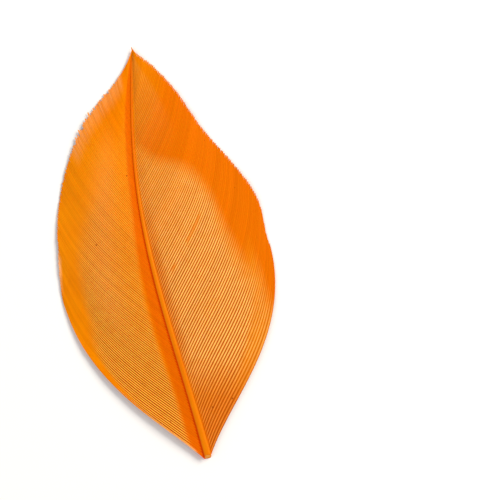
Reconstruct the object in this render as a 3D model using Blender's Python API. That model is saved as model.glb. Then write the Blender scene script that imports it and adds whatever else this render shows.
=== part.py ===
# Goose quill feather, trimmed and dyed: a bowed, tapering shaft with a vane of barbs on each side.
# It lies on a surface with its smooth, convex side up. +Y runs from the cut base to the tip, +Z is up,
# and the origin is the middle of the feather's box on the surface. Units are metres.
import bpy
import numpy as np

MM = 0.001

# Driving dimensions, measured with the base of the shaft at 0, 0 and the tip straight ahead on +Y
LENGTH = 60.1 * MM  # cut base to tip
BOW = 3.1 * MM  # how far the shaft bends to the left of the straight line
BOW_SKEW = 1.27  # above 1 puts the deepest bend past mid length
ARCH = 1.5 * MM  # how far the middle of the shaft stands above its two ends
SHAFT_END = 58.9 * MM  # the shaft stops a little short of the last barbs
REST_RUN = 2.5 * MM  # straight stretch at the cut base that lies flat on the surface
GAP = 0.3 * MM  # clear space between the shaft and each vane

# Half width of the shaft, at fractions of its length
SHAFT_PLACES = (0.0, 0.13, 0.3, 0.5, 0.6, 0.8, 1.0)
SHAFT_HALF_WIDTHS = (0.56 * MM, 0.47 * MM, 0.42 * MM, 0.33 * MM, 0.26 * MM, 0.18 * MM, 0.12 * MM)
SHAFT_DEPTH = 0.92  # height of the shaft's section as a share of its width
SHAFT_SQUARENESS = 2.8  # 2 is an ellipse, more brings the section nearer to a rounded square
SHAFT_RINGS = 34
SHAFT_SIDES = 12
ARCH_SKEW = 0.85  # under 1 puts the arch's top before mid length

# Each vane is worked out from its barbs. A barb leaves the shaft at one angle, opens a little,
# then sweeps towards the tip of the feather. The values are set at these places along the shaft,
# from the vane's first root (0) to the last (1).
LAST_ROOT = 58.1 * MM
VANE_PLACES = (0.0, 0.15, 0.3, 0.5, 0.7, 0.85, 1.0)
RIGHT_VANE = {
    "side": 1,
    "first_root": 1.2,  # mm from the cut base
    "length": (31.3, 29.8, 26.2, 20.3, 14.2, 8.4, 2.0),  # mm along the barb
    "leave": (34.1, 37, 39, 38, 34, 26, 4),  # degrees from the shaft, at the root
    "end": (0.6, 12.5, 14, 14, 13, 8, -14),  # degrees from the shaft, at the barb's tip
    "open": (20, 16, 14, 10, 6, 4, 0),  # degrees more between the two
    "seed": 5,
}
LEFT_VANE = {
    "side": -1,
    "first_root": 0.5,
    "length": (29.7, 26.4, 22.9, 17.9, 11.7, 5.8, 1.8),
    "leave": (36.7, 35.3, 34, 32, 31, 26, 4),
    "end": (0.5, 5, 9, 12, 14, 10, -14),
    "open": (14.2, 9, 8, 6, 4, 3, 0),
    "seed": 11,
}

# The barbs cling together in locks. Each lock is a low ridge that ends in a tooth on the vane's edge.
LOCKS = 36
LOCK_RISE = 0.18 * MM
TOOTH = 0.35 * MM  # how much shorter the barbs are between two locks
SHORT_TOOTH = 0.1  # the same as a share of the barb, where that is less
LOCK_UNEVEN = 0.012  # share by which one lock is longer or shorter than the next
RIDGE_START = 12  # how soon a ridge rises as its barbs leave the shaft
VANE_COLUMNS = 14
ROOT_THICKNESS = 0.36 * MM
EDGE_THICKNESS = 0.2 * MM
ROOT_ABOVE_MIDDLE = 0.25  # height of the barbs' roots over the shaft's middle line, in half widths
DROOP = 1.7  # power of the vane's fall from the shaft to its edge
EDGE_WAVE = 0.22 * MM  # the outer edge lifts this far off the surface between the places where it rests
WAVES = 2.5
CROWN = 0.45 * MM  # how far the vane swells between the shaft and its edge
SWELL_SKEW = 0.8  # under 1 puts the swell, and the barbs' widest angle, nearer to the shaft

ORANGE_SHAFT = (0.86, 0.26, 0.012, 1.0)
ORANGE_LEFT = (0.84, 0.21, 0.010, 1.0)
ORANGE_RIGHT = (0.86, 0.24, 0.018, 1.0)


def clear_scene():
    for item in list(bpy.data.objects):
        bpy.data.objects.remove(item, do_unlink=True)


def smooth_through(x, places, values):
    """Cubic curve that passes through the values set at the places, with the slopes of their neighbours."""
    places = np.asarray(places, float)
    values = np.asarray(values, float)
    slopes = np.gradient(values, places)
    i = np.clip(np.searchsorted(places, x, side="right") - 1, 0, len(places) - 2)
    width = places[i + 1] - places[i]
    s = (x - places[i]) / width
    bend_in = s**3 - 2 * s**2 + s
    bend_out = s**3 - s**2
    share = 3 * s**2 - 2 * s**3
    return (1 - share) * values[i] + share * values[i + 1] + width * (bend_in * slopes[i] + bend_out * slopes[i + 1])


def shaft_x(y):
    return -BOW * np.sin(np.pi * np.clip(y / LENGTH, 0, 1) ** BOW_SKEW)


def shaft_heading(y):
    """Direction of the shaft seen from above, as an angle from +X."""
    step = 0.05 * MM
    return np.arctan2(2 * step, shaft_x(y + step) - shaft_x(y - step))


def shaft_half_width(y):
    run = np.clip((y - REST_RUN) / (SHAFT_END - REST_RUN), 0, 1)
    return smooth_through(run, SHAFT_PLACES, SHAFT_HALF_WIDTHS)


def shaft_section():
    """Across and up values of the section for a half width of 1, turned so that one side faces straight down."""
    turn = np.pi / SHAFT_SIDES + 2 * np.pi * np.arange(SHAFT_SIDES) / SHAFT_SIDES
    across = np.sign(np.cos(turn)) * np.abs(np.cos(turn)) ** (2 / SHAFT_SQUARENESS)
    up = np.sign(np.sin(turn)) * np.abs(np.sin(turn)) ** (2 / SHAFT_SQUARENESS)
    return across, up * SHAFT_DEPTH


def shaft_height(y):
    """Height of the shaft's middle line: its underside touches the surface at both ends and arches between."""
    run = np.clip((y - REST_RUN) / (SHAFT_END - REST_RUN), 0, 1)
    underside = -shaft_section()[1].min()
    return shaft_half_width(y) * underside + ARCH * np.sin(np.pi * run**ARCH_SKEW) ** 2


def make_material(name, colour, roughness):
    material = bpy.data.materials.new(name)
    material.use_nodes = True
    shader = material.node_tree.nodes["Principled BSDF"]
    shader.inputs["Base Color"].default_value = colour
    shader.inputs["Roughness"].default_value = roughness
    shader.inputs["Metallic"].default_value = 0.0
    return material


def add_object(name, points, faces, material):
    mesh = bpy.data.meshes.new(name)
    mesh.from_pydata(points.tolist(), [], faces)
    mesh.materials.append(material)
    mesh.shade_smooth()
    mesh.set_sharp_from_angle(angle=np.radians(40))
    mesh.validate()
    item = bpy.data.objects.new(name, mesh)
    bpy.context.scene.collection.objects.link(item)
    return item


def build_shaft():
    """The section carried along the bowed, arched line, with a cap at each end."""
    rows = np.concatenate([[0.0], np.linspace(REST_RUN, SHAFT_END, SHAFT_RINGS)])
    across, up = shaft_section()
    wide = shaft_half_width(rows)[:, None]
    square_to_line = shaft_heading(rows)[:, None] - np.pi / 2
    reach = wide * across
    points = np.stack(
        [
            shaft_x(rows)[:, None] + reach * np.cos(square_to_line),
            rows[:, None] + reach * np.sin(square_to_line),
            shaft_height(rows)[:, None] + wide * up,
        ],
        axis=-1,
    )
    points[0, :, 1] = 0.0  # the knife cut the base off square
    points[1, :, 2] = points[0, :, 2]
    faces = [tuple(range(SHAFT_SIDES))]
    for ring in range(len(rows) - 1):
        for side in range(SHAFT_SIDES):
            a = ring * SHAFT_SIDES + side
            b = ring * SHAFT_SIDES + (side + 1) % SHAFT_SIDES
            faces.append((b, a, a + SHAFT_SIDES, b + SHAFT_SIDES))
    last = (len(rows) - 1) * SHAFT_SIDES
    faces.append(tuple(range(last + SHAFT_SIDES - 1, last - 1, -1)))
    return add_object("shaft", points.reshape(-1, 3), faces, make_material("dyed quill", ORANGE_SHAFT, 0.35))


def vane_middle(vane, place, along, uneven, on_ridge):
    """Points halfway through a vane. place runs along the shaft and along runs out on each barb, both 0 to 1."""
    side = vane["side"]
    first = vane["first_root"] * MM
    root = first + place * (LAST_ROOT - first)
    leave, end, wider, length = (
        smooth_through(place, VANE_PLACES, vane[key])[:, None] for key in ("leave", "end", "open", "length")
    )
    turn = np.radians(leave + (end - leave) * along + wider * np.sin(np.pi * along**SWELL_SKEW))
    heading = shaft_heading(root)[:, None] - side * turn
    reach = length[:, 0] * MM * uneven
    reach = reach - (1 - on_ridge) * np.minimum(TOOTH, SHORT_TOOTH * reach)
    steps = np.diff(along) * reach[:, None]
    middle_heading = (heading[:, 1:] + heading[:, :-1]) / 2
    zero = np.zeros((len(place), 1))
    run_x = np.concatenate([zero, np.cumsum(steps * np.cos(middle_heading), axis=1)], axis=1)
    run_y = np.concatenate([zero, np.cumsum(steps * np.sin(middle_heading), axis=1)], axis=1)
    x = (shaft_x(root) + side * (shaft_half_width(root) + GAP))[:, None] + run_x
    y = root[:, None] + run_y
    root_height = (shaft_height(root) + ROOT_ABOVE_MIDDLE * shaft_half_width(root))[:, None]
    edge_height = EDGE_THICKNESS / 2 + EDGE_WAVE * (1 - np.cos(2 * np.pi * WAVES * place[:, None])) / 2
    fall = along**DROOP
    swell = CROWN * np.sin(np.pi * along**SWELL_SKEW) * np.sin(np.pi * (0.1 + 0.9 * place[:, None]))
    z = root_height * (1 - fall) + edge_height * fall + swell
    return np.stack([x, y, z], axis=-1)


def build_vane(name, vane, material):
    """A thin sheet of joined barbs with an upper and a lower skin, closed all round."""
    rng = np.random.default_rng(vane["seed"])
    stations = 2 * LOCKS + 1
    place = np.linspace(0, 1, stations)
    along = np.linspace(0, 1, VANE_COLUMNS)
    on_ridge = (np.arange(stations) % 2).astype(float)
    uneven = 1 + LOCK_UNEVEN * rng.uniform(-1, 1, stations) * on_ridge
    middle = vane_middle(vane, place, along, uneven, on_ridge)
    middle[..., 2] += LOCK_RISE * on_ridge[:, None] * (1 - np.exp(-RIDGE_START * along))
    half = (ROOT_THICKNESS * (1 - along) + EDGE_THICKNESS * along) / 2
    half = half * smooth_through(place, (0, 0.7, 1), (1.0, 0.85, 0.6))[:, None]
    up = np.zeros_like(middle)
    up[..., 2] = half
    middle[..., 2] = np.maximum(middle[..., 2], half)  # nothing sinks below the surface
    points = np.concatenate([(middle + up).reshape(-1, 3), (middle - up).reshape(-1, 3)])
    columns = VANE_COLUMNS
    under = stations * columns
    faces = []
    for row in range(stations - 1):
        for column in range(columns - 1):
            a = row * columns + column
            b = a + 1
            c = b + columns
            d = a + columns
            faces.append((a, b, c, d))
            faces.append((under + d, under + c, under + b, under + a))
    rim = list(range(columns))
    rim += [row * columns + columns - 1 for row in range(1, stations)]
    rim += [(stations - 1) * columns + column for column in range(columns - 2, -1, -1)]
    rim += [row * columns for row in range(stations - 2, 0, -1)]
    for a, b in zip(rim, rim[1:] + rim[:1]):
        faces.append((b, a, under + a, under + b))
    if vane["side"] < 0:
        faces = [face[::-1] for face in faces]
    return add_object(name, points, faces, material)


def centre_on_surface(items):
    """Moves all meshes together, so that the middle of their box is at the origin and its floor at height 0."""
    clouds = [np.array([vertex.co for vertex in item.data.vertices]) for item in items]
    low = np.min([cloud.min(axis=0) for cloud in clouds], axis=0)
    high = np.max([cloud.max(axis=0) for cloud in clouds], axis=0)
    shift = np.array([(low[0] + high[0]) / 2, (low[1] + high[1]) / 2, low[2]])
    for item, cloud in zip(items, clouds):
        item.data.vertices.foreach_set("co", (cloud - shift).ravel())
        item.data.update()


clear_scene()
feather = [
    build_shaft(),
    build_vane("left_vane", LEFT_VANE, make_material("dyed left barbs", ORANGE_LEFT, 0.55)),
    build_vane("right_vane", RIGHT_VANE, make_material("dyed right barbs", ORANGE_RIGHT, 0.55)),
]
centre_on_surface(feather)
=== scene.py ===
from types import SimpleNamespace

import bpy
import numpy as np
from mathutils import Matrix, Vector


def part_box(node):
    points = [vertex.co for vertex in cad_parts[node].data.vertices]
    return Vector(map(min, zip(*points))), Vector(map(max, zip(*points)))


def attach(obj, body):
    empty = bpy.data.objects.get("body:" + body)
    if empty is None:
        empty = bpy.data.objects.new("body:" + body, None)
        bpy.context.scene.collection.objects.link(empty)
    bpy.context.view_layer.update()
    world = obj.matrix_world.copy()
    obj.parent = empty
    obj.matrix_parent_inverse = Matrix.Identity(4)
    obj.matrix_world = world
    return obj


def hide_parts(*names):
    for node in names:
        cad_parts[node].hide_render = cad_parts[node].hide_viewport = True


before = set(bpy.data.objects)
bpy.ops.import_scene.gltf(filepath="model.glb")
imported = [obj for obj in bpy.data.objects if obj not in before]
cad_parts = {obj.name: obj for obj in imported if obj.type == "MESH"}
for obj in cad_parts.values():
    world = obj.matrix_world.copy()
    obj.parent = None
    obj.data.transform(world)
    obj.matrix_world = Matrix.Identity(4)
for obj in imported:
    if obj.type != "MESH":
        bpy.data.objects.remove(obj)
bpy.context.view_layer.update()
print("frame:", ", ".join(sorted(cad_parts)))

# The plan of the feather, in mm, with the cut base of the shaft at 0, 0 and the tip straight ahead on +Y.
# It is the plan that the CAD solids follow, so the barbs lie where the vane solids lie.
plan = {
    "length": 60.1,  # cut base to tip
    "bow": 3.1,  # how far the shaft bends to the left
    "bowSkew": 1.27,  # above 1 puts the deepest bend past mid length
    "arch": 1.5,  # how far the middle stands above the two ends
    "archSkew": 0.85,  # under 1 puts the arch's top before mid length
    "shaftEnd": 58.9,
    "restRun": 2.5,  # straight stretch at the base that lies on the surface
    "widthPlaces": (0.0, 0.13, 0.3, 0.5, 0.6, 0.8, 1.0),
    "halfWidths": (0.56, 0.47, 0.42, 0.33, 0.26, 0.18, 0.12),
    "depth": 0.92,  # height of the shaft's section as a share of its width
    "squareness": 2.8,  # 2 is an ellipse, more brings the section nearer to a rounded square
    "solidSides": 12,  # of the shaft solid's section
    "lastRoot": 58.1,
    "vanePlaces": (0.0, 0.15, 0.3, 0.5, 0.7, 0.85, 1.0),
    "gap": 0.3,  # between the shaft's side and the vane solids, which the barbs here bridge
    "droop": 1.7,  # power of a barb's fall from the shaft to the vane's edge
    "crown": 0.45,  # how far the vane swells between the two
    "swellSkew": 0.8,  # under 1 puts the swell and a barb's widest angle nearer to the shaft
    "edgeRise": 0.14,
    "edgeWave": 0.22,  # how far the edge lifts between the places where it rests
    "waves": 2.5,
}
flatReach = np.cos(np.pi / plan["solidSides"]) ** (2 / plan["squareness"])  # of the solid's flat sides
underside = plan["depth"] * flatReach  # from the middle line down to the flat underside, in half widths
shaftLow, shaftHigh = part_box("shaft")
basePoint = np.array([shaftHigh.x * 1000 - plan["halfWidths"][0] * flatReach, shaftLow.y * 1000, 0.0])


# Cubic curve through values set at places, with the slopes of their neighbours
def smoothThrough(x, places, values):
    places = np.asarray(places, float)
    values = np.asarray(values, float)
    slopes = np.gradient(values, places)
    i = np.clip(np.searchsorted(places, x, side="right") - 1, 0, len(places) - 2)
    width = places[i + 1] - places[i]
    s = (x - places[i]) / width
    share = 3 * s**2 - 2 * s**3
    bend = width * ((s**3 - 2 * s**2 + s) * slopes[i] + (s**3 - s**2) * slopes[i + 1])
    return (1 - share) * values[i] + share * values[i + 1] + bend


# 0 up to the start, 1 past the end and an S between them; with the end before the start it falls instead
def ease(x, start, end):
    s = np.clip((x - start) / (end - start), 0, 1)
    return s * s * (3 - 2 * s)


# Rises from 0 to 1 over one stretch and falls back to 0 over another
def riseAndFall(x, rise, fall):
    return ease(x, *rise) * (1 - ease(x, *fall))


# Half a sine wave whose top is skewed towards the tip, times the bow
def shaftX(y):
    return -plan["bow"] * np.sin(np.pi * np.clip(y / plan["length"], 0, 1) ** plan["bowSkew"])


# Angle of the shaft's line from +X, from the slope of shaftX
def shaftHeading(y):
    step = 0.05
    return np.arctan2(2 * step, shaftX(y + step) - shaftX(y - step))


# Share of the way from the end of the straight stretch to the shaft's end
def shaftRun(y):
    return np.clip((y - plan["restRun"]) / (plan["shaftEnd"] - plan["restRun"]), 0, 1)


# Smooth curve through the half widths
def shaftHalfWidth(y):
    return smoothThrough(shaftRun(y), plan["widthPlaces"], plan["halfWidths"])


# Height of the middle line: the depth down to the underside, plus the arch, which is a squared, skewed sine
def shaftHeight(y):
    arch = plan["arch"] * np.sin(np.pi * shaftRun(y) ** plan["archSkew"]) ** 2
    return shaftHalfWidth(y) * underside + arch


# Sum of a few sine waves with seeded phases: a smooth, aimless line of about -1 to 1
def wander(x, rng, waves):
    total = np.zeros_like(x)
    for wave in waves:
        total = total + np.sin(2 * np.pi * (wave * x + rng.random()))
    return total / len(waves)


# A direction made 1 long
def unit(direction):
    return direction / np.linalg.norm(direction, axis=-1, keepdims=True)


# What is left of a direction when its share along another is taken off
def squaredTo(direction, other):
    return direction - np.sum(direction * other, axis=-1, keepdims=True) * other


# Running sum along each row, from 0
def runningSum(steps):
    return np.concatenate([np.zeros((len(steps), 1)), np.cumsum(steps, axis=1)], axis=1)


# Moves points from the plan's mm to the frame's metres and makes one mesh object of them, smooth but for
# folds sharper than an angle in degrees
def makeObject(name, points, faces, sharpAngle=60):
    mesh = bpy.data.meshes.new(name)
    mesh.from_pydata(((points + basePoint) * 0.001).tolist(), [], faces)
    mesh.shade_smooth()
    mesh.set_sharp_from_angle(angle=np.radians(sharpAngle))
    item = bpy.data.objects.new(name, mesh)
    bpy.context.scene.collection.objects.link(item)
    return item


# One value per point, for a material to read
def addValue(item, name, values):
    layer = item.data.attributes.new(name, "FLOAT", "POINT")
    layer.data.foreach_set("value", np.asarray(values, np.float32).ravel())


# Three values per point, such as a place on the surface that a pattern follows
def addVector(item, name, values):
    layer = item.data.attributes.new(name, "FLOAT_VECTOR", "POINT")
    layer.data.foreach_set("vector", np.asarray(values, np.float32).ravel())


# One UV per corner, read from the values of the corner's own point
def addUv(item, u, v):
    mesh = item.data
    corner = np.zeros(len(mesh.loops), np.int32)
    mesh.loops.foreach_get("vertex_index", corner)
    flat = np.stack([u.ravel()[corner], v.ravel()[corner]], axis=-1)
    mesh.uv_layers.new(name="grain").data.foreach_set("uv", flat.astype(np.float32).ravel())


# Quads of many closed tubes whose points are laid out as tube, ring, point: each ring joins the next, and
# one face closes each end
def tubeFaces(tubes, rings, sides):
    tube = np.arange(tubes)[:, None, None] * rings * sides
    ring = np.arange(rings - 1)[None, :, None] * sides
    side = np.arange(sides)[None, None, :]
    a = tube + ring + side
    b = tube + ring + (side + 1) % sides
    quads = np.stack([a, b, b + sides, a + sides], axis=-1).reshape(-1, 4).tolist()
    first = np.arange(tubes)[:, None] * rings * sides
    nearCaps = (first + np.arange(sides)[::-1]).tolist()
    farCaps = (first + (rings - 1) * sides + np.arange(sides)).tolist()
    return quads + nearCaps + farCaps


# What the barbs of both vanes share, in mm unless it says otherwise
barbForm = {
    "inside": 0.3,  # share of the shaft's half width by which they start inside its side
    "closeUp": (3.4, 0.5),  # before the shaft's end, where they start ever nearer to its middle line
    "closeUpShare": 0.85,
    "flattest": 24,  # degrees: one that leaves at less starts no further down the shaft
    "strayPower": 6,  # high: only the outer end of a barb goes astray
    "lift": 0.06,  # above the vane's own surface
    "groupLift": 0.05,  # by which groups of barbs lie higher or lower
    "calmLength": 8,  # shorter barbs are less ragged
    "frayFrom": (0.5, 0.62),  # places along a vane where its frayed stretch starts and ends
    "frayTo": (0.84, 0.93),
    "frayGroups": 0.45,  # by which frayed groups, and frayed barbs, differ in length
    "frayRagged": 0.35,
    "frayStray": 0.2,  # degrees more that frayed barbs go astray
    "frayLift": 0.12,  # by which their tips lift off
    "curlSpread": 0.055,  # share of the vane to each side of the curled barbs' place
    "steepest": 0.5,  # slope of a web towards the next barb
    "spaces": (0.14, 0.8),  # narrowest and widest space that a barb fills
    "web": 0.56,  # half width in spaces, over half, so that the webs of neighbours meet
    "webStep": 0.012,  # one edge of the web lies lower and the other higher
    "footHeight": 0.03,
    "ridgeHeight": 0.085,
    "keelDepth": 0.11,
    "keelHalf": 0.10,  # half width of the keel, in spaces
    "fullLength": 12,  # shorter barbs are thinner too
    "creaseShadePlaces": (0, 0.5, 0.7, 0.85, 1),  # along the vane, for the painted shade beside the shaft
}


# Grows the barbs of a vane, one row for each. Roots are evenly spaced, a little wider at the base and each
# shifted at random. Angles and lengths are smooth curves through the settings, and neighbours that cling
# together end together.
def growBarbs(vane, rng):
    share = np.linspace(0, 1, vane["barbs"])[:, None]
    place = share + vane["widerAtBase"] * share * (1 - share) ** 2
    place = place + vane["crowding"] * rng.uniform(-1, 1, share.shape) / (vane["barbs"] - 1)
    place = np.clip(place, 0, 1)
    leave, end, wider, usual = (
        smoothThrough(place, plan["vanePlaces"], vane[key]) for key in ("leave", "end", "open", "length")
    )
    calm = np.minimum(1, usual / barbForm["calmLength"])
    frayed = riseAndFall(place, barbForm["frayFrom"], barbForm["frayTo"]) * vane["frayed"]
    group = wander(place, rng, (31, 47, 71))
    reach = usual + calm * (vane["ragged"] * rng.uniform(-1, 1, share.shape) + vane["groups"] * group)
    fray = barbForm["frayGroups"] * group + barbForm["frayRagged"] * rng.uniform(-1, 1, share.shape)
    curled = np.exp(-((place - vane["curlPlace"]) / barbForm["curlSpread"]) ** 4)
    return SimpleNamespace(
        place=place, leave=leave, end=end, wider=wider, frayed=frayed, group=group, curled=curled,
        root=vane["firstRoot"] + place * (plan["lastRoot"] - vane["firstRoot"]),
        usual=usual, reach=reach + frayed * calm * fray + vane["curl"] * curled,
    )


# Middle lines of the barbs, as barb, ring and x, y, z. Each starts inside the shaft's side, heads out at one
# angle, opens a little and then sweeps to the feather's tip; its x and y are the running sums of short steps
# along that heading. Its height falls from shaft to edge with a power of the way along, and swells between
# by a sine.
def barbLines(vane, barbs, rng):
    root, leave = barbs.root, np.radians(barbs.leave)
    half = shaftHalfWidth(root)
    inside = barbForm["inside"] * half
    outward = np.sin(np.radians(np.maximum(barbs.leave, barbForm["flattest"])))
    inner = np.minimum((inside + plan["gap"]) / outward, root / 0.9)  # none starts before the cut base
    walked = -inner + np.linspace(0, 1, vane["rings"]) * (barbs.reach + inner)
    along = np.clip(walked / barbs.usual, 0, 1)
    opening = np.sin(np.pi * along ** plan["swellSkew"])

    turn = barbs.leave + (barbs.end - barbs.leave) * along + barbs.wider * opening
    stray = vane["stray"] + barbForm["frayStray"] * barbs.frayed
    stray = np.clip(rng.normal(0, 1, root.shape), -2, 2) * stray
    turn = turn + stray * along ** barbForm["strayPower"]
    heading = shaftHeading(root) - vane["side"] * np.radians(turn)
    steps = np.diff(walked, axis=1)
    between = (heading[:, 1:] + heading[:, :-1]) / 2
    start = root - inner * np.cos(leave)
    closing, closed = (plan["shaftEnd"] - before for before in barbForm["closeUp"])
    depth = (1 - barbForm["inside"]) * (1 - barbForm["closeUpShare"] * ease(start, closing, closed))
    x = shaftX(start) + vane["side"] * shaftHalfWidth(start) * depth + runningSum(steps * np.cos(between))
    y = start + runningSum(steps * np.sin(between))

    rootHeight = shaftHeight(root) + vane["rootAbove"] * half
    ripple = (1 - np.cos(2 * np.pi * plan["waves"] * barbs.place)) / 2
    edgeHeight = plan["edgeRise"] + plan["edgeWave"] * ripple
    fall = along ** plan["droop"]
    crown = plan["crown"] * opening * np.sin(np.pi * (0.1 + 0.9 * barbs.place))
    lifted = wander(barbs.place, rng, (5, 9, 17)) * barbForm["groupLift"]
    lifted = barbForm["lift"] + lifted + rng.uniform(-1, 1, root.shape) * vane["uneven"]
    frayLift = barbForm["frayLift"] * barbs.frayed * rng.uniform(0, 1, root.shape)
    z = rootHeight * (1 - fall) + edgeHeight * fall + crown
    z = z + lifted * (1 - np.exp(-6 * along)) + frayLift * along ** barbForm["strayPower"]

    barbs.walked, barbs.along = walked, along
    barbs.beside = (walked + inner) * np.sin(leave) - inside
    barbs.fromTip = barbs.reach - walked
    return np.stack([x, y, z], axis=-1)


# How much single barbs show as lines, what lies inside their limit, and how much painted shadow streak lies
# on them. A table along the shaft says how far out along the barb they go and how strong they are inside and
# outside that limit;
# they fade in past a start beside the shaft and out at the end. Painted shadow streaks, bell curves across
# the barbs, have none.
def lineShare(vane, barbs):
    table = vane["lineTable"]
    start, limit, inner, outer = (
        smoothThrough(barbs.place, table["places"], table[key])
        for key in ("start", "limit", "inside", "outside")
    )
    inside = 1 - ease(barbs.along, limit - table["soft"], limit + table["soft"])
    started = ease(barbs.walked, start - table["startSoft"], start + table["startSoft"])
    ended = ease(barbs.along, table["end"] - table["endSoft"], table["end"] + table["endSoft"])
    lines = np.clip(started * (inner * inside + outer * (1 - inside)) * (1 - ended), 0, 1)
    bare = np.zeros_like(barbs.walked)
    for at, first, last in vane["bare"]:
        onBarb = np.exp(-((barbs.place - at) / vane["bareWidth"]) ** 2)
        onStretch = riseAndFall(barbs.walked, (first - 0.4, first + 0.4), (last - 0.4, last + 0.4))
        bare = bare + vane["bareShare"] * onBarb * onStretch
    return lines * (1 - bare), inside, bare


# Points of the barbs' sections, as barb, ring, point and x, y, z, and the section itself. It is a ridge on
# top, a keel below and a thin web to each side, as wide as the space to the next barb. It is carried square
# to the line, level but for the slope to the next barb, so that webs meet.
def barbPoints(vane, barbs, middle):
    tangent = unit(np.gradient(middle, axis=1))
    toNext = squaredTo(np.gradient(middle, axis=0), tangent)
    space = np.linalg.norm(toNext, axis=-1)
    slope = np.clip(toNext[..., 2] / space, -barbForm["steepest"], barbForm["steepest"])
    level = unit(np.cross(tangent, [0.0, 0.0, 1.0]))
    across = level.copy()
    across[..., 2] = slope * np.sign(np.sum(toNext * level, axis=-1))
    across = unit(squaredTo(across, tangent))
    up = np.cross(across, tangent)

    narrow = vane["tipWidth"] + (1 - vane["tipWidth"]) * ease(barbs.fromTip, 0.0, vane["tipRun"])
    width = np.clip(space, *barbForm["spaces"]) * narrow
    thickness = 0.45 + 0.55 * np.minimum(1, barbs.reach / barbForm["fullLength"])
    body = (1 - 0.5 * barbs.along) * thickness * (0.4 + 0.6 * narrow)
    body = body * (0.35 + 0.65 * ease(barbs.beside, 0.0, 0.7))
    ridge = body * (0.35 + 0.65 * barbs.lines)

    # across in spaces, ridge and keel in mm, share of the ridge's colour
    web, step, keel, deep = (barbForm[key] for key in ("web", "webStep", "keelHalf", "keelDepth"))
    foot, low = vane["ridgeFoot"], barbForm["footHeight"]
    top, high = vane["ridgeTop"], barbForm["ridgeHeight"]
    section = np.array([
        (-web, -step, 0.0, 0.0), (-foot, low, 0.0, 0.1), (-top, high, 0.0, 1.0), (top, high, 0.0, 1.0),
        (foot, low, 0.0, 0.1), (web, step, 0.0, 0.0), (keel, 0.0, -deep, 0.6), (-keel, 0.0, -deep, 0.6),
    ])
    aside = width[:, :, None] * section[:, 0]
    rise = ridge[:, :, None] * section[:, 1] + body[:, :, None] * section[:, 2]
    points = middle[:, :, None, :] + across[:, :, None, :] * aside[..., None]
    points = points + up[:, :, None, :] * rise[..., None]
    points[..., 2] = np.maximum(points[..., 2], 0.0)  # nothing reaches below the surface it rests on
    return points, section


# What the material reads at each ring of a barb: how much it shows as a line, the painted sheen on it, how
# far it is from the shaft in mm, the painted shade in the crease there, the deeper orange, much of it
# painted shade, and how much is pale, from wear and a painted haze, from 0 to 1
def barbLooks(vane, barbs):
    lowest = np.exp(-((barbs.place * (vane["barbs"] - 1)) / 0.8) ** 4)  # the first barb, at the lower edge
    lowest = lowest * ease(barbs.walked, 0.6, 1.6) * (1 - 0.7 * ease(barbs.along, 0.28, 0.4))
    curled = np.sign(vane["curl"]) * barbs.curled * ease(barbs.fromTip, 1.2, 0.6)
    tips = ease(barbs.frayed, 0.1, 0.4) * ease(barbs.fromTip, 3.0, 0.3) * (0.6 + 0.4 * barbs.group)
    pale = np.maximum(curled, vane["paleEdge"] * lowest)
    pale = np.maximum(pale, vane["paleTips"] * tips)
    paintedHaze = np.exp(-((barbs.along - 0.5) / 0.16) ** 2) * riseAndFall(barbs.place, (0.12, 0.3), (0.6, 0.8))
    crease = smoothThrough(barbs.place, barbForm["creaseShadePlaces"], vane["crease"])
    return {
        "lines": barbs.lines * (1 - pale),
        "paintedSheen": barbs.lines * vane["paintedSheen"](barbs),
        "beside": barbs.beside,
        "crease": crease * np.ones_like(barbs.walked),
        "deep": np.maximum(vane["deep"](barbs) * (1 - pale), barbs.bare),
        "pale": np.maximum(pale, vane["paintedHaze"] * paintedHaze),
    }


# All barbs of one vane as one mesh: lines first, then a closed tube of sections along each
def makeVane(name, vane):
    rng = np.random.default_rng(vane["seed"])
    barbs = growBarbs(vane, rng)
    middle = barbLines(vane, barbs, rng)
    barbs.lines, barbs.inside, barbs.bare = lineShare(vane, barbs)
    points, section = barbPoints(vane, barbs, middle)
    shape = points.shape[:3]
    item = makeObject(name, points.reshape(-1, 3), tubeFaces(*shape))
    for key, values in barbLooks(vane, barbs).items():
        addValue(item, key, np.broadcast_to(values[:, :, None], shape))
    addValue(item, "ridge", np.broadcast_to(section[:, 3], shape))
    addValue(item, "tone", np.broadcast_to(rng.uniform(0, 1, vane["barbs"])[:, None, None], shape))
    walked = np.broadcast_to(barbs.walked[:, :, None], shape)
    addUv(item, walked, np.broadcast_to(section[:, 0] * 0.5, shape))
    item.data.materials.append(barbMaterial(vane))
    print(name, vane["barbs"], "barbs,", 2 * np.prod(shape), "triangles or so")
    return item


# 1 beside the shaft, 0 from 2.2 mm out, and fading out towards the cut base and the tip
def closeToShaft(barbs):
    middle = ease(barbs.place, 0.12, 0.3) * (1 - 0.8 * ease(barbs.place, 0.5, 0.66))
    return (1 - ease(barbs.walked, 0.2, 2.2)) * middle


# Place on the vane, counted a little further up for each mm out, because the cut base's shade leans that way
def leaning(barbs):
    return barbs.place + 0.0155 * barbs.walked


# Less painted sheen on the ridges near the cut base and close to the shaft
def rightPaintedSheen(barbs):
    return (0.2 + 0.8 * ease(leaning(barbs), 0.12, 0.26)) * (1 - 0.6 * closeToShaft(barbs))


# Redder outside the lines, but for the lowest barbs and the tip; near the cut base and beside the shaft,
# painted shade makes it redder too
def rightDeepAndShade(barbs):
    outer = (1 - barbs.inside) * np.maximum(ease(barbs.place, 0.1, 0.22), ease(barbs.along, 0.62, 0.78))
    outer = outer * (1 - 0.8 * ease(barbs.place, 0.72, 0.9))
    outer = np.maximum(outer, 0.8 * closeToShaft(barbs))
    return np.maximum(outer, 0.8 * (1 - ease(leaning(barbs), 0.08, 0.24)))


# A little less painted sheen past the lower third
def leftPaintedSheen(barbs):
    return 1 - 0.1 * ease(barbs.place, 0.3, 0.5)


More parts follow.
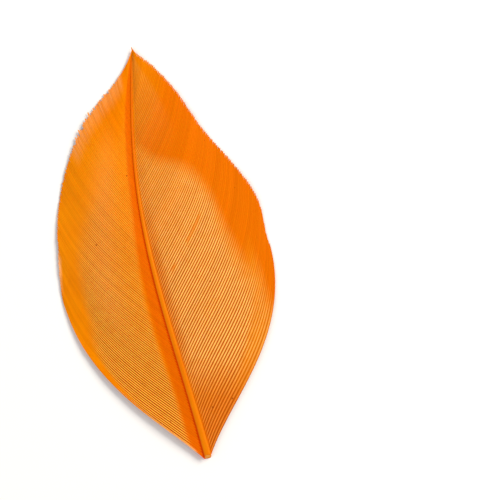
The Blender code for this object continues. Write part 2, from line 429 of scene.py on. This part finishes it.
# Beside the shaft the left vane is in its shade, and redder; a little near the tip too
def leftDeepAndShade(barbs):
    reach = 1 + 0.2 * ease(barbs.place, 0.15, 0.3) - 0.6 * ease(barbs.place, 0.4, 0.65)
    return np.maximum(1 - ease(barbs.walked, 1.3 * reach, 3.0 * reach), 0.3 * ease(barbs.place, 0.64, 0.8))


rightVane = {
    "side": 1,
    "seed": 5,
    "barbs": 112,  # 0.5 mm apart at the shaft
    "rings": 66,
    "firstRoot": 1.2,  # mm from the cut base
    "length": (31.3, 29.8, 26.2, 20.3, 14.2, 8.4, 2.0),  # mm along the barb
    "leave": (34.1, 37, 39, 38, 34, 26, 4),  # degrees from the shaft, at the root
    "end": (0.6, 12.5, 14, 14, 13, 8, -14),  # at the barb's tip
    "open": (20, 16, 14, 10, 6, 4, 0),  # degrees more between the two
    "widerAtBase": 0.2,  # share by which the lowest barbs stand further apart
    "crowding": 0.04,  # share of a space by which a root is off its place
    "rootAbove": 0.4,  # height of the roots over the shaft's middle line, in half widths
    "ragged": 0.07,  # mm by which one barb is longer than the next
    "groups": 0.06,  # mm by which groups of barbs are
    "frayed": 0.0,  # from 0 to 1
    "uneven": 0.006,  # mm by which one barb lies higher than the next
    "stray": 0.3,  # degrees by which a barb's tip goes astray
    "tipRun": 0.7,  # mm over which a barb narrows to its tip
    "tipWidth": 0.7,
    "ridgeTop": 0.17,  # half widths of the ridge at its top and foot, in spaces between barbs
    "ridgeFoot": 0.3,
    "lineTable": {
        "places": (0, 0.04, 0.07, 0.1, 0.16, 0.3, 0.42, 0.5, 0.6, 0.7, 0.8, 1.0),
        "start": (-0.3,) * 12,  # mm along the barb
        "limit": (0.28, 0.35, 0.50, 0.59, 0.60, 0.61, 0.67, 0.64, 0.49, 0.24, 0.0, -0.2),  # of the barb
        "inside": (1.0, 1.0, 1.0, 1.0, 1.0, 1.0, 0.95, 0.8, 0.65, 0.55, 0.3, 0.2),
        "outside": (0.5, 0.5, 0.5, 0.45, 0.12, 0.0, 0.0, 0.0, 0.0, 0.05, 0.15, 0.15),
        "soft": 0.09,
        "startSoft": 0.2,
        "end": 0.7,  # share of the barb past which there are none
        "endSoft": 0.08,
    },
    "bare": ((0.414, 7.4, 12.0), (0.414, 2.9, 3.9)),  # painted shadow streaks without lines: place, then mm from and to
    "bareWidth": 0.0045,
    "bareShare": 0.75,
    "curl": 0.0,  # mm by which the barbs that curl up at the edge are longer
    "curlPlace": 0.5,
    "paintedSheen": rightPaintedSheen,
    "deep": rightDeepAndShade,
    "paintedHaze": 0.0,  # a faint painted haze of glare down the middle of the vane
    "paleTips": 0.0,
    "paleEdge": 0.0,
    "crease": (0.35, 0.3, 0.15, 0.0, 0.0),  # painted shade gathered along the shaft
    "material": "combed dyed barbs, right",
    "patternAt": (0.3, 0.6, 0),  # moves the patterns, so that the two vanes differ
    # ridgeSheen is a painted sheen; web is painted shade between the ridges, crease painted shade beside the
    # shaft, and deep a deeper orange that is partly painted shade near the shaft and the cut base
    "colours": {
        "plain": "#e68200", "plainDark": "#e07600", "deep": "#dc6800", "ridgeSheen": "#ffba5e",
        "web": "#b95200", "crease": "#c04e00", "pale": "#ffb066",
    },
}
leftVane = {
    "side": -1,
    "seed": 11,
    "barbs": 138,  # 0.42 mm apart
    "rings": 62,
    "firstRoot": 0.5,
    "length": (29.7, 26.4, 22.9, 17.9, 11.7, 5.8, 1.8),
    "leave": (36.7, 35.3, 34, 32, 31, 26, 4),
    "end": (0.5, 5, 9, 12, 14, 10, -14),
    "open": (14.2, 9, 8, 6, 4, 3, 0),
    "widerAtBase": 0.1,
    "crowding": 0.04,
    "rootAbove": 0.45,
    "ragged": 0.05,
    "groups": 0.06,
    "frayed": 0.7,
    "uneven": 0.006,
    "stray": 0.3,
    "tipRun": 0.5,
    "tipWidth": 0.7,
    "ridgeTop": 0.14,
    "ridgeFoot": 0.28,
    "lineTable": {
        "places": (0, 0.04, 0.12, 0.3, 0.42, 0.5, 0.6, 0.7, 0.8, 1.0),
        "start": (2.0, 2.1, 2.3, 3.0, 2.7, 2.1, 1.3, 0.9, 0.8, 0.8),
        "limit": (0.28, 0.56, 0.66, 0.73, 0.68, 0.6, 0.5, 0.4, 0.3, 0.1),
        "inside": (1.0, 1.0, 1.0, 0.8, 0.65, 0.6, 0.45, 0.25, 0.1, 0.0),
        "outside": (0.0, 0.0, 0.05, 0.08, 0.08, 0.08, 0.08, 0.05, 0.0, 0.0),
        "soft": 0.08,
        "startSoft": 0.7,
        "end": 1.2,  # past the barb's tip: they don't end early
        "endSoft": 0.08,
    },
    "bare": (),
    "curl": 0.55,
    "curlPlace": 0.132,
    "paintedSheen": leftPaintedSheen,
    "deep": leftDeepAndShade,
    "paintedHaze": 0.12,
    "paleTips": 0.55,
    "paleEdge": 1.0,
    # painted shade along the shaft, strong on this side, which lies in the shaft's shade
    "crease": (0.95, 0.9, 0.6, 0.1, 0.0),
    "material": "combed dyed barbs, left",
    "patternAt": (0.7, 1.4, 0),
    # ridgeSheen is a painted sheen; web is painted shade between the ridges, crease and deep painted shade
    # beside the shaft, and pale both worn dye and a painted haze
    "colours": {
        "plain": "#f08600", "plainDark": "#ea7c00", "deep": "#dc6000", "ridgeSheen": "#ffc03c",
        "web": "#b81600", "crease": "#d03a00", "pale": "#faa866",
    },
}

quill = {
    "seed": 3,
    "rings": 220,
    "baseRings": 15,  # of them, on the run at the base where the cut is
    "baseRun": 3,  # mm
    "sides": 36,
    "pointRun": 3,  # mm before the solid's end where the point starts
    "pastEnd": 0.5,  # mm past it where the point ends
    "pointShare": 0.75,  # of its width that the point loses
    "groove": 0.16,  # depth of the groove underneath, in half widths
    "grooveTurn": 0.30,  # its half width, in radians
    "crease": 0.035,  # depth of the two faint creases on top
    "creaseTurn": 0.45,  # radians to each side of the top
    "creaseWidth": 0.12,
    "uneven": 0.012,
    "cutSlant": 0.5,  # mm that the cut face leans back from its bottom to its top
    "pithRim": 0.78,  # where the pith starts on the cut face, as a share of the half width
    "pithDepth": 0.07,  # mm
    "rimBevel": 0.03,  # mm
}


# The shaft: a rounded square, a circle's cosine and sine raised to a power, carried along the bowed, arched
# line. Bell curves of the angle make the groove underneath and the creases on top. The base is cut at a
# slant, with its pith a little below the rim. Angle 0 is the right side and a quarter turn is the top.
def makeShaft():
    rng = np.random.default_rng(quill["seed"])
    sides, baseRings, baseRun = quill["sides"], quill["baseRings"], quill["baseRun"]
    farEnd = plan["shaftEnd"] + quill["pastEnd"]
    y = np.concatenate([
        np.linspace(0, baseRun, baseRings, endpoint=False),
        np.linspace(baseRun, farEnd, quill["rings"] - baseRings),
    ])
    turn = 2 * np.pi * (1 - np.arange(sides) / sides)
    power = 2 / plan["squareness"]
    across = np.sign(np.cos(turn)) * np.abs(np.cos(turn)) ** power
    up = np.sign(np.sin(turn)) * np.abs(np.sin(turn)) ** power * plan["depth"]
    uneven = wander(y / 60, rng, (3, 7, 13)) - 1  # waves in 60 mm; never wider than the plan says
    half = shaftHalfWidth(y) * (1 + quill["uneven"] * uneven)
    half = half * (1 - quill["pointShare"] * ease(y, plan["shaftEnd"] - quill["pointRun"], farEnd))

    groove = quill["groove"] * np.exp(-((turn - 1.5 * np.pi) / quill["grooveTurn"]) ** 2)
    fromCrease = np.abs(turn - 0.5 * np.pi) - quill["creaseTurn"]
    crease = quill["crease"] * np.exp(-((fromCrease / quill["creaseWidth"]) ** 2))
    lift = groove * ease(y, 4, 12)[:, None] - crease * ease(y, 1, 8)[:, None]
    square = shaftHeading(y)[:, None] - np.pi / 2
    reach = half[:, None] * across
    cut = quill["cutSlant"] * (up / plan["depth"] + 1) / 2 * (1 - ease(y, 0, 2.5))[:, None]
    points = np.stack([
        shaftX(y)[:, None] + reach * np.cos(square),
        y[:, None] + reach * np.sin(square) * ease(y, 0, 1.5)[:, None] + cut,
        shaftHeight(y)[:, None] + half[:, None] * (up + lift),
    ], axis=-1)
    points[..., 2] = np.maximum(points[..., 2], 0.0)

    # the cut face: rings from the pith's middle out to the rim, each a share of the way and a depth in mm
    rim = points[:1].copy()
    centre = np.array([shaftX(0.0), quill["cutSlant"] / 2, shaftHeight(0.0)])
    edge, deep = quill["pithRim"], quill["pithDepth"]
    pithRings = [(0.25, 1.6 * deep), (edge - 0.1, deep), (edge, deep)]
    face = []
    for share, depth in (*pithRings, (edge + 0.07, 0.0), (0.97, 0.0)):
        ring = centre + (rim - centre) * share
        ring[..., 1] += depth
        face.append(ring)
    points[0, :, 1] += quill["rimBevel"]
    points = np.concatenate([*face, points])

    shape = points.shape[:2]
    item = makeObject("quill", points.reshape(-1, 3), tubeFaces(1, *shape), 50)
    walked = np.concatenate([np.zeros(len(face)), y])
    isPith = np.arange(shape[0]) < len(pithRings)
    addValue(item, "pith", np.broadcast_to(isPith[:, None], shape))
    addValue(item, "run", np.broadcast_to(walked[:, None] / plan["length"], shape))
    onSection = np.broadcast_to(np.stack([across, up], axis=-1), (*shape, 2))
    onLength = np.broadcast_to(walked[:, None, None], (*shape, 1))
    addVector(item, "grain", np.concatenate([onLength, onSection], axis=-1))
    item.data.materials.append(shaftMaterial())
    print("quill", shape[0], "rings")
    return item


# sRGB hex to the linear colour that shaders take
def linear(hexColour):
    parts = np.array([int(hexColour[i:i + 2], 16) for i in (1, 3, 5)]) / 255
    parts = np.where(parts <= 0.04045, parts / 12.92, ((parts + 0.055) / 1.055) ** 2.4)
    return (*parts.tolist(), 1.0)


# Adds a node. Settings are its own fields; inputs hold, by name or number, a socket to join, an sRGB hex
# colour or a plain value.
def addNode(tree, kind, settings=None, inputs=None):
    node = tree.nodes.new(kind)
    for key, value in (settings or {}).items():
        setattr(node, key, value)
    for key, value in (inputs or {}).items():
        if isinstance(value, bpy.types.NodeSocket):
            tree.links.new(value, node.inputs[key])
        else:
            node.inputs[key].default_value = linear(value) if isinstance(value, str) else value
    return node


def newMaterial(name):
    material = bpy.data.materials.new(name)
    material.use_nodes = True
    tree = material.node_tree
    tree.nodes.clear()
    return material, tree


# Barbs are combed, dyed keratin: a matt orange. Painted shade makes the web between ridges browner where the
# lines show, and a painted sheen turns the ridges peach, which is what draws the fine lines.
def barbMaterial(vane):
    colours = vane["colours"]
    material, tree = newMaterial(vane["material"])
    mix = {"data_type": "RGBA"}
    ridge, lines, paintedSheen, beside, crease, deep, pale, tone = (
        addNode(tree, "ShaderNodeAttribute", {"attribute_name": key}).outputs["Fac"]
        for key in ("ridge", "lines", "paintedSheen", "beside", "crease", "deep", "pale", "tone")
    )
    place = addNode(tree, "ShaderNodeTexCoord").outputs["Object"]
    shifted = addNode(tree, "ShaderNodeMapping", {}, {"Vector": place, "Location": vane["patternAt"]})
    shifted = shifted.outputs["Vector"]

    # patches of dye about 6 mm across, and a mottle about 1 mm across in the painted sheen
    dye = addNode(tree, "ShaderNodeTexNoise", {}, {"Vector": shifted, "Scale": 170.0, "Detail": 3.0})
    patches = addNode(tree, "ShaderNodeMapRange", {}, {
        "Value": dye.outputs["Fac"], "From Min": 0.35, "From Max": 0.65,
    })
    plain = addNode(tree, "ShaderNodeMix", mix, {
        "Factor": patches.outputs["Result"], "A": colours["plainDark"], "B": colours["plain"],
    })
    # deeper orange where the deep share says: painted shade beside the shaft, near the cut base and in the
    # shadow streaks, and a deeper tone elsewhere
    plain = addNode(tree, "ShaderNodeMix", mix, {
        "Factor": deep, "A": plain.outputs["Result"], "B": colours["deep"],
    })
    plain = plain.outputs["Result"]
    mottle = addNode(tree, "ShaderNodeTexNoise", {}, {"Vector": shifted, "Scale": 900.0, "Detail": 2.0})
    uneven = addNode(tree, "ShaderNodeMapRange", {}, {
        "Value": mottle.outputs["Fac"], "From Min": 0.3, "From Max": 0.7, "To Min": 0.8, "To Max": 1.1,
    })
    # painted sheen: the ridges turn peach where it lies
    sheenShare = addNode(tree, "ShaderNodeMath", {"operation": "MULTIPLY"}, {
        0: paintedSheen, 1: uneven.outputs["Result"],
    })
    sheenedRidge = addNode(tree, "ShaderNodeMix", mix, {
        "Factor": sheenShare.outputs[0], "A": plain, "B": colours["ridgeSheen"],
    })
    # painted shade: the web between the ridges is browner where the lines show
    shadedWeb = addNode(tree, "ShaderNodeMix", mix, {"Factor": lines, "A": plain, "B": colours["web"]})
    colour = addNode(tree, "ShaderNodeMix", mix, {
        "Factor": ridge, "A": shadedWeb.outputs["Result"], "B": sheenedRidge.outputs["Result"],
    })

    # worn tips and curled barbs have lost some of their dye, and the lowest barb is paler; a faint painted
    # haze of glare lies down the middle of the left vane too
    colour = addNode(tree, "ShaderNodeMix", mix, {
        "Factor": pale, "A": colour.outputs["Result"], "B": colours["pale"],
    })

    # painted shade in the crease where the barbs leave the shaft
    nearShaft = addNode(tree, "ShaderNodeMapRange", {"interpolation_type": "SMOOTHSTEP"}, {
        "Value": beside, "From Min": 0.02, "From Max": 0.26, "To Min": 1.0, "To Max": 0.0,
    })
    creaseShade = addNode(tree, "ShaderNodeMath", {"operation": "MULTIPLY"}, {
        0: crease, 1: nearShaft.outputs["Result"],
    })
    colour = addNode(tree, "ShaderNodeMix", mix, {
        "Factor": creaseShade.outputs[0], "A": colour.outputs["Result"], "B": colours["crease"],
    })

    # one barb a little lighter than the next
    lighter = addNode(tree, "ShaderNodeMapRange", {}, {"Value": tone, "To Min": 0.95, "To Max": 1.05})
    colour = addNode(tree, "ShaderNodeVectorMath", {"operation": "SCALE"}, {
        0: colour.outputs["Result"], "Scale": lighter.outputs["Result"],
    })

    # dirt: a few dots up to 0.3 mm across, one in seven of cells 3 mm wide
    dots = addNode(tree, "ShaderNodeTexVoronoi", {"voronoi_dimensions": "2D"}, {
        "Vector": shifted, "Scale": 330.0,
    })
    chance = addNode(tree, "ShaderNodeSeparateColor", {}, {"Color": dots.outputs["Color"]})
    radius = addNode(tree, "ShaderNodeMapRange", {}, {
        "Value": chance.outputs["Red"], "From Min": 0.86, "To Min": 0.0, "To Max": 0.055,
    })
    isDot = addNode(tree, "ShaderNodeMath", {"operation": "LESS_THAN"}, {
        0: dots.outputs["Distance"], 1: radius.outputs["Result"],
    })
    faint = addNode(tree, "ShaderNodeMath", {"operation": "MULTIPLY"}, {0: isDot.outputs[0], 1: 0.7})
    colour = addNode(tree, "ShaderNodeMix", mix, {
        "Factor": faint.outputs[0], "A": colour.outputs["Vector"], "B": "#8a3a06",
    })

    # barbules: fine stripes across the web, really 0.03 mm apart, drawn at 0.4 mm
    grain = addNode(tree, "ShaderNodeUVMap", {"uv_map": "grain"}).outputs["UV"]
    wave = addNode(tree, "ShaderNodeTexWave", {"wave_type": "BANDS", "bands_direction": "DIAGONAL"}, {
        "Vector": grain, "Scale": 1.6, "Distortion": 0.4, "Detail": 1.0,
    })
    bump = addNode(tree, "ShaderNodeBump", {}, {
        "Height": wave.outputs["Fac"], "Strength": 0.2, "Distance": 0.00002,
    })

    # gloss that has passed through dyed keratin is orange too
    shader = addNode(tree, "ShaderNodeBsdfPrincipled", {}, {
        "Base Color": colour.outputs["Result"], "Normal": bump.outputs["Normal"],
        "Roughness": 0.55, "IOR": 1.55, "Specular IOR Level": 0.1, "Specular Tint": "#ff8a18",
        "Subsurface Weight": 0.1, "Subsurface Radius": (1.0, 0.3, 0.05), "Subsurface Scale": 0.0004,
    })
    addNode(tree, "ShaderNodeOutputMaterial", {}, {"Surface": shader.outputs["BSDF"]})
    return material


# The shaft is smooth dyed keratin, like a fingernail: glossier than the barbs and yellower, with fine
# streaks along its length, redder towards the tip. The pith in the cut face is a dull, pale foam.
def shaftMaterial():
    material, tree = newMaterial("smooth dyed quill keratin")
    mix = {"data_type": "RGBA"}
    pith = addNode(tree, "ShaderNodeAttribute", {"attribute_name": "pith"}).outputs["Fac"]
    run = addNode(tree, "ShaderNodeAttribute", {"attribute_name": "run"}).outputs["Fac"]
    grain = addNode(tree, "ShaderNodeAttribute", {"attribute_name": "grain"}).outputs["Vector"]
    place = addNode(tree, "ShaderNodeTexCoord").outputs["Object"]

    # streaks about 0.07 mm wide and 2 mm long, and patches about 5 mm across
    stretched = addNode(tree, "ShaderNodeMapping", {}, {"Vector": grain, "Scale": (0.25, 3.0, 3.0)})
    streaks = addNode(tree, "ShaderNodeTexNoise", {}, {
        "Vector": stretched.outputs["Vector"], "Scale": 2.0, "Detail": 4.0,
    })
    patches = addNode(tree, "ShaderNodeTexNoise", {}, {"Vector": place, "Scale": 220.0, "Detail": 2.0})

    # painted shade: redder down its left side, away from the key light; also redder towards the tip
    across = addNode(tree, "ShaderNodeSeparateXYZ", {}, {"Vector": grain}).outputs["Y"]
    shadedLeftSide = addNode(tree, "ShaderNodeMapRange", {"interpolation_type": "SMOOTHSTEP"}, {
        "Value": across, "From Min": -0.55, "From Max": -0.95,
    })
    towardsTip = addNode(tree, "ShaderNodeMapRange", {"interpolation_type": "SMOOTHSTEP"}, {
        "Value": run, "From Min": 0.5, "From Max": 0.85,
    })
    horn = addNode(tree, "ShaderNodeMix", mix, {
        "Factor": streaks.outputs["Fac"], "A": "#dc7000", "B": "#ea8a06",
    })
    layers = (
        (patches.outputs["Fac"], "#dc6c00"), (shadedLeftSide.outputs["Result"], "#e44a00"),
        (towardsTip.outputs["Result"], "#dc6600"),
    )
    for share, dye in layers:
        horn = addNode(tree, "ShaderNodeMix", mix, {"Factor": share, "A": horn.outputs["Result"], "B": dye})

    # the pith's bubbles are about 0.07 mm across
    foam = addNode(tree, "ShaderNodeTexVoronoi", {}, {"Vector": place, "Scale": 14000.0})
    foamColour = addNode(tree, "ShaderNodeMix", mix, {
        "Factor": foam.outputs["Distance"], "A": "#ffa030", "B": "#ffb858",
    })
    colour = addNode(tree, "ShaderNodeMix", mix, {
        "Factor": pith, "A": horn.outputs["Result"], "B": foamColour.outputs["Result"],
    })
    roughness = addNode(tree, "ShaderNodeMapRange", {}, {"Value": pith, "To Min": 0.36, "To Max": 0.85})
    bump = addNode(tree, "ShaderNodeBump", {}, {
        "Height": streaks.outputs["Fac"], "Strength": 0.3, "Distance": 0.00002,
    })
    shader = addNode(tree, "ShaderNodeBsdfPrincipled", {}, {
        "Base Color": colour.outputs["Result"], "Roughness": roughness.outputs["Result"],
        "Normal": bump.outputs["Normal"], "IOR": 1.55, "Specular IOR Level": 0.2, "Specular Tint": "#ffb060",
        "Subsurface Weight": 0.12, "Subsurface Radius": (1.0, 0.4, 0.1), "Subsurface Scale": 0.0005,
    })
    addNode(tree, "ShaderNodeOutputMaterial", {}, {"Surface": shader.outputs["BSDF"]})
    return material


rightBarbs = makeVane("right_barbs", rightVane)
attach(rightBarbs, "root")
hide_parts("right_vane")

leftBarbs = makeVane("left_barbs", leftVane)
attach(leftBarbs, "root")
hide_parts("left_vane")

shaft = makeShaft()
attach(shaft, "root")
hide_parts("shaft")

studio = {
    "middle": (11.36, 28.2, 0.8),  # mm on the plan: what the middle of the picture shows
    "upDirection": (0.1837, 0.983),  # on the plan, what runs straight up in the picture
    "frameWidth": 71.7,  # mm across the picture
    "distance": 0.36,  # metres from camera to feather
    "lean": 7.5,  # degrees off straight down, towards the lower left of the picture
    "sensor": 36,  # mm
    "floorHalf": 3,  # metres from the floor's middle to its edge
    "floorDrop": 0.00002,  # metres, so that floor and feather don't share a face
    "roomLight": 0.54,
}


# A square of matt paper under the feather
def makeFloor():
    far = studio["floorHalf"]
    mesh = bpy.data.meshes.new("floor")
    mesh.from_pydata([(-far, -far, 0), (far, -far, 0), (far, far, 0), (-far, far, 0)], [], [(0, 1, 2, 3)])
    item = bpy.data.objects.new("floor", mesh)
    item.location.z = -studio["floorDrop"]
    bpy.context.scene.collection.objects.link(item)
    material, tree = newMaterial("matt white paper")
    shader = addNode(tree, "ShaderNodeBsdfPrincipled", {}, {"Base Color": "#f4f2ee", "Roughness": 0.9})
    addNode(tree, "ShaderNodeOutputMaterial", {}, {"Surface": shader.outputs["BSDF"]})
    mesh.materials.append(material)


# Looks down on the feather, leaning back by a few degrees along the picture's diagonal. The lens is the one
# whose frame is as wide as the settings say at that distance.
def makeCamera():
    data = bpy.data.cameras.new("camera")
    camera = bpy.data.objects.new("camera", data)
    bpy.context.scene.collection.objects.link(camera)
    aim = Vector((np.array(studio["middle"]) + basePoint) * 0.001)
    pictureUp = Vector((*studio["upDirection"], 0)).normalized()
    pictureRight = pictureUp.cross(Vector((0, 0, 1)))
    lean = np.radians(studio["lean"])
    away = Vector((0, 0, np.cos(lean))) - (pictureUp + pictureRight).normalized() * np.sin(lean)
    right = pictureUp.cross(away).normalized()
    up = away.cross(right)
    turn = Matrix((right, up, away)).transposed().to_4x4()
    camera.matrix_world = Matrix.Translation(aim + away * studio["distance"]) @ turn
    data.sensor_width = studio["sensor"]
    data.lens = studio["sensor"] * studio["distance"] * 1000 / studio["frameWidth"]
    data.clip_start = 0.01
    data.clip_end = 20
    bpy.context.scene.camera = camera


# A soft box at a place in metres that aims at the frame's middle, with its size in metres and power in watts
def makeLight(name, where, size, power, colour):
    data = bpy.data.lights.new(name, "AREA")
    data.shape = "RECTANGLE"
    data.size, data.size_y = size
    data.energy = power
    data.color = linear(colour)[:3]
    item = bpy.data.objects.new(name, data)
    item.location = where
    item.rotation_mode = "QUATERNION"
    item.rotation_quaternion = Vector(where).to_track_quat("Z", "Y")
    bpy.context.scene.collection.objects.link(item)


def makeStudio():
    makeFloor()
    makeCamera()
    makeLight("key from the right", (0.42, 0.22, 0.40), (0.35, 0.35), 3.8, "#fffaf2")
    makeLight("fill from the left", (-0.5, -0.2, 0.5), (0.5, 0.5), 1.5, "#faf8ff")
    world = bpy.data.worlds.new("soft pale room")
    world.use_nodes = True
    background = world.node_tree.nodes["Background"]
    background.inputs["Color"].default_value = linear("#f2f4f8")
    background.inputs["Strength"].default_value = studio["roomLight"]
    bpy.context.scene.world = world
    bpy.context.scene.view_settings.view_transform = "Standard"


makeStudio()
print("studio made")
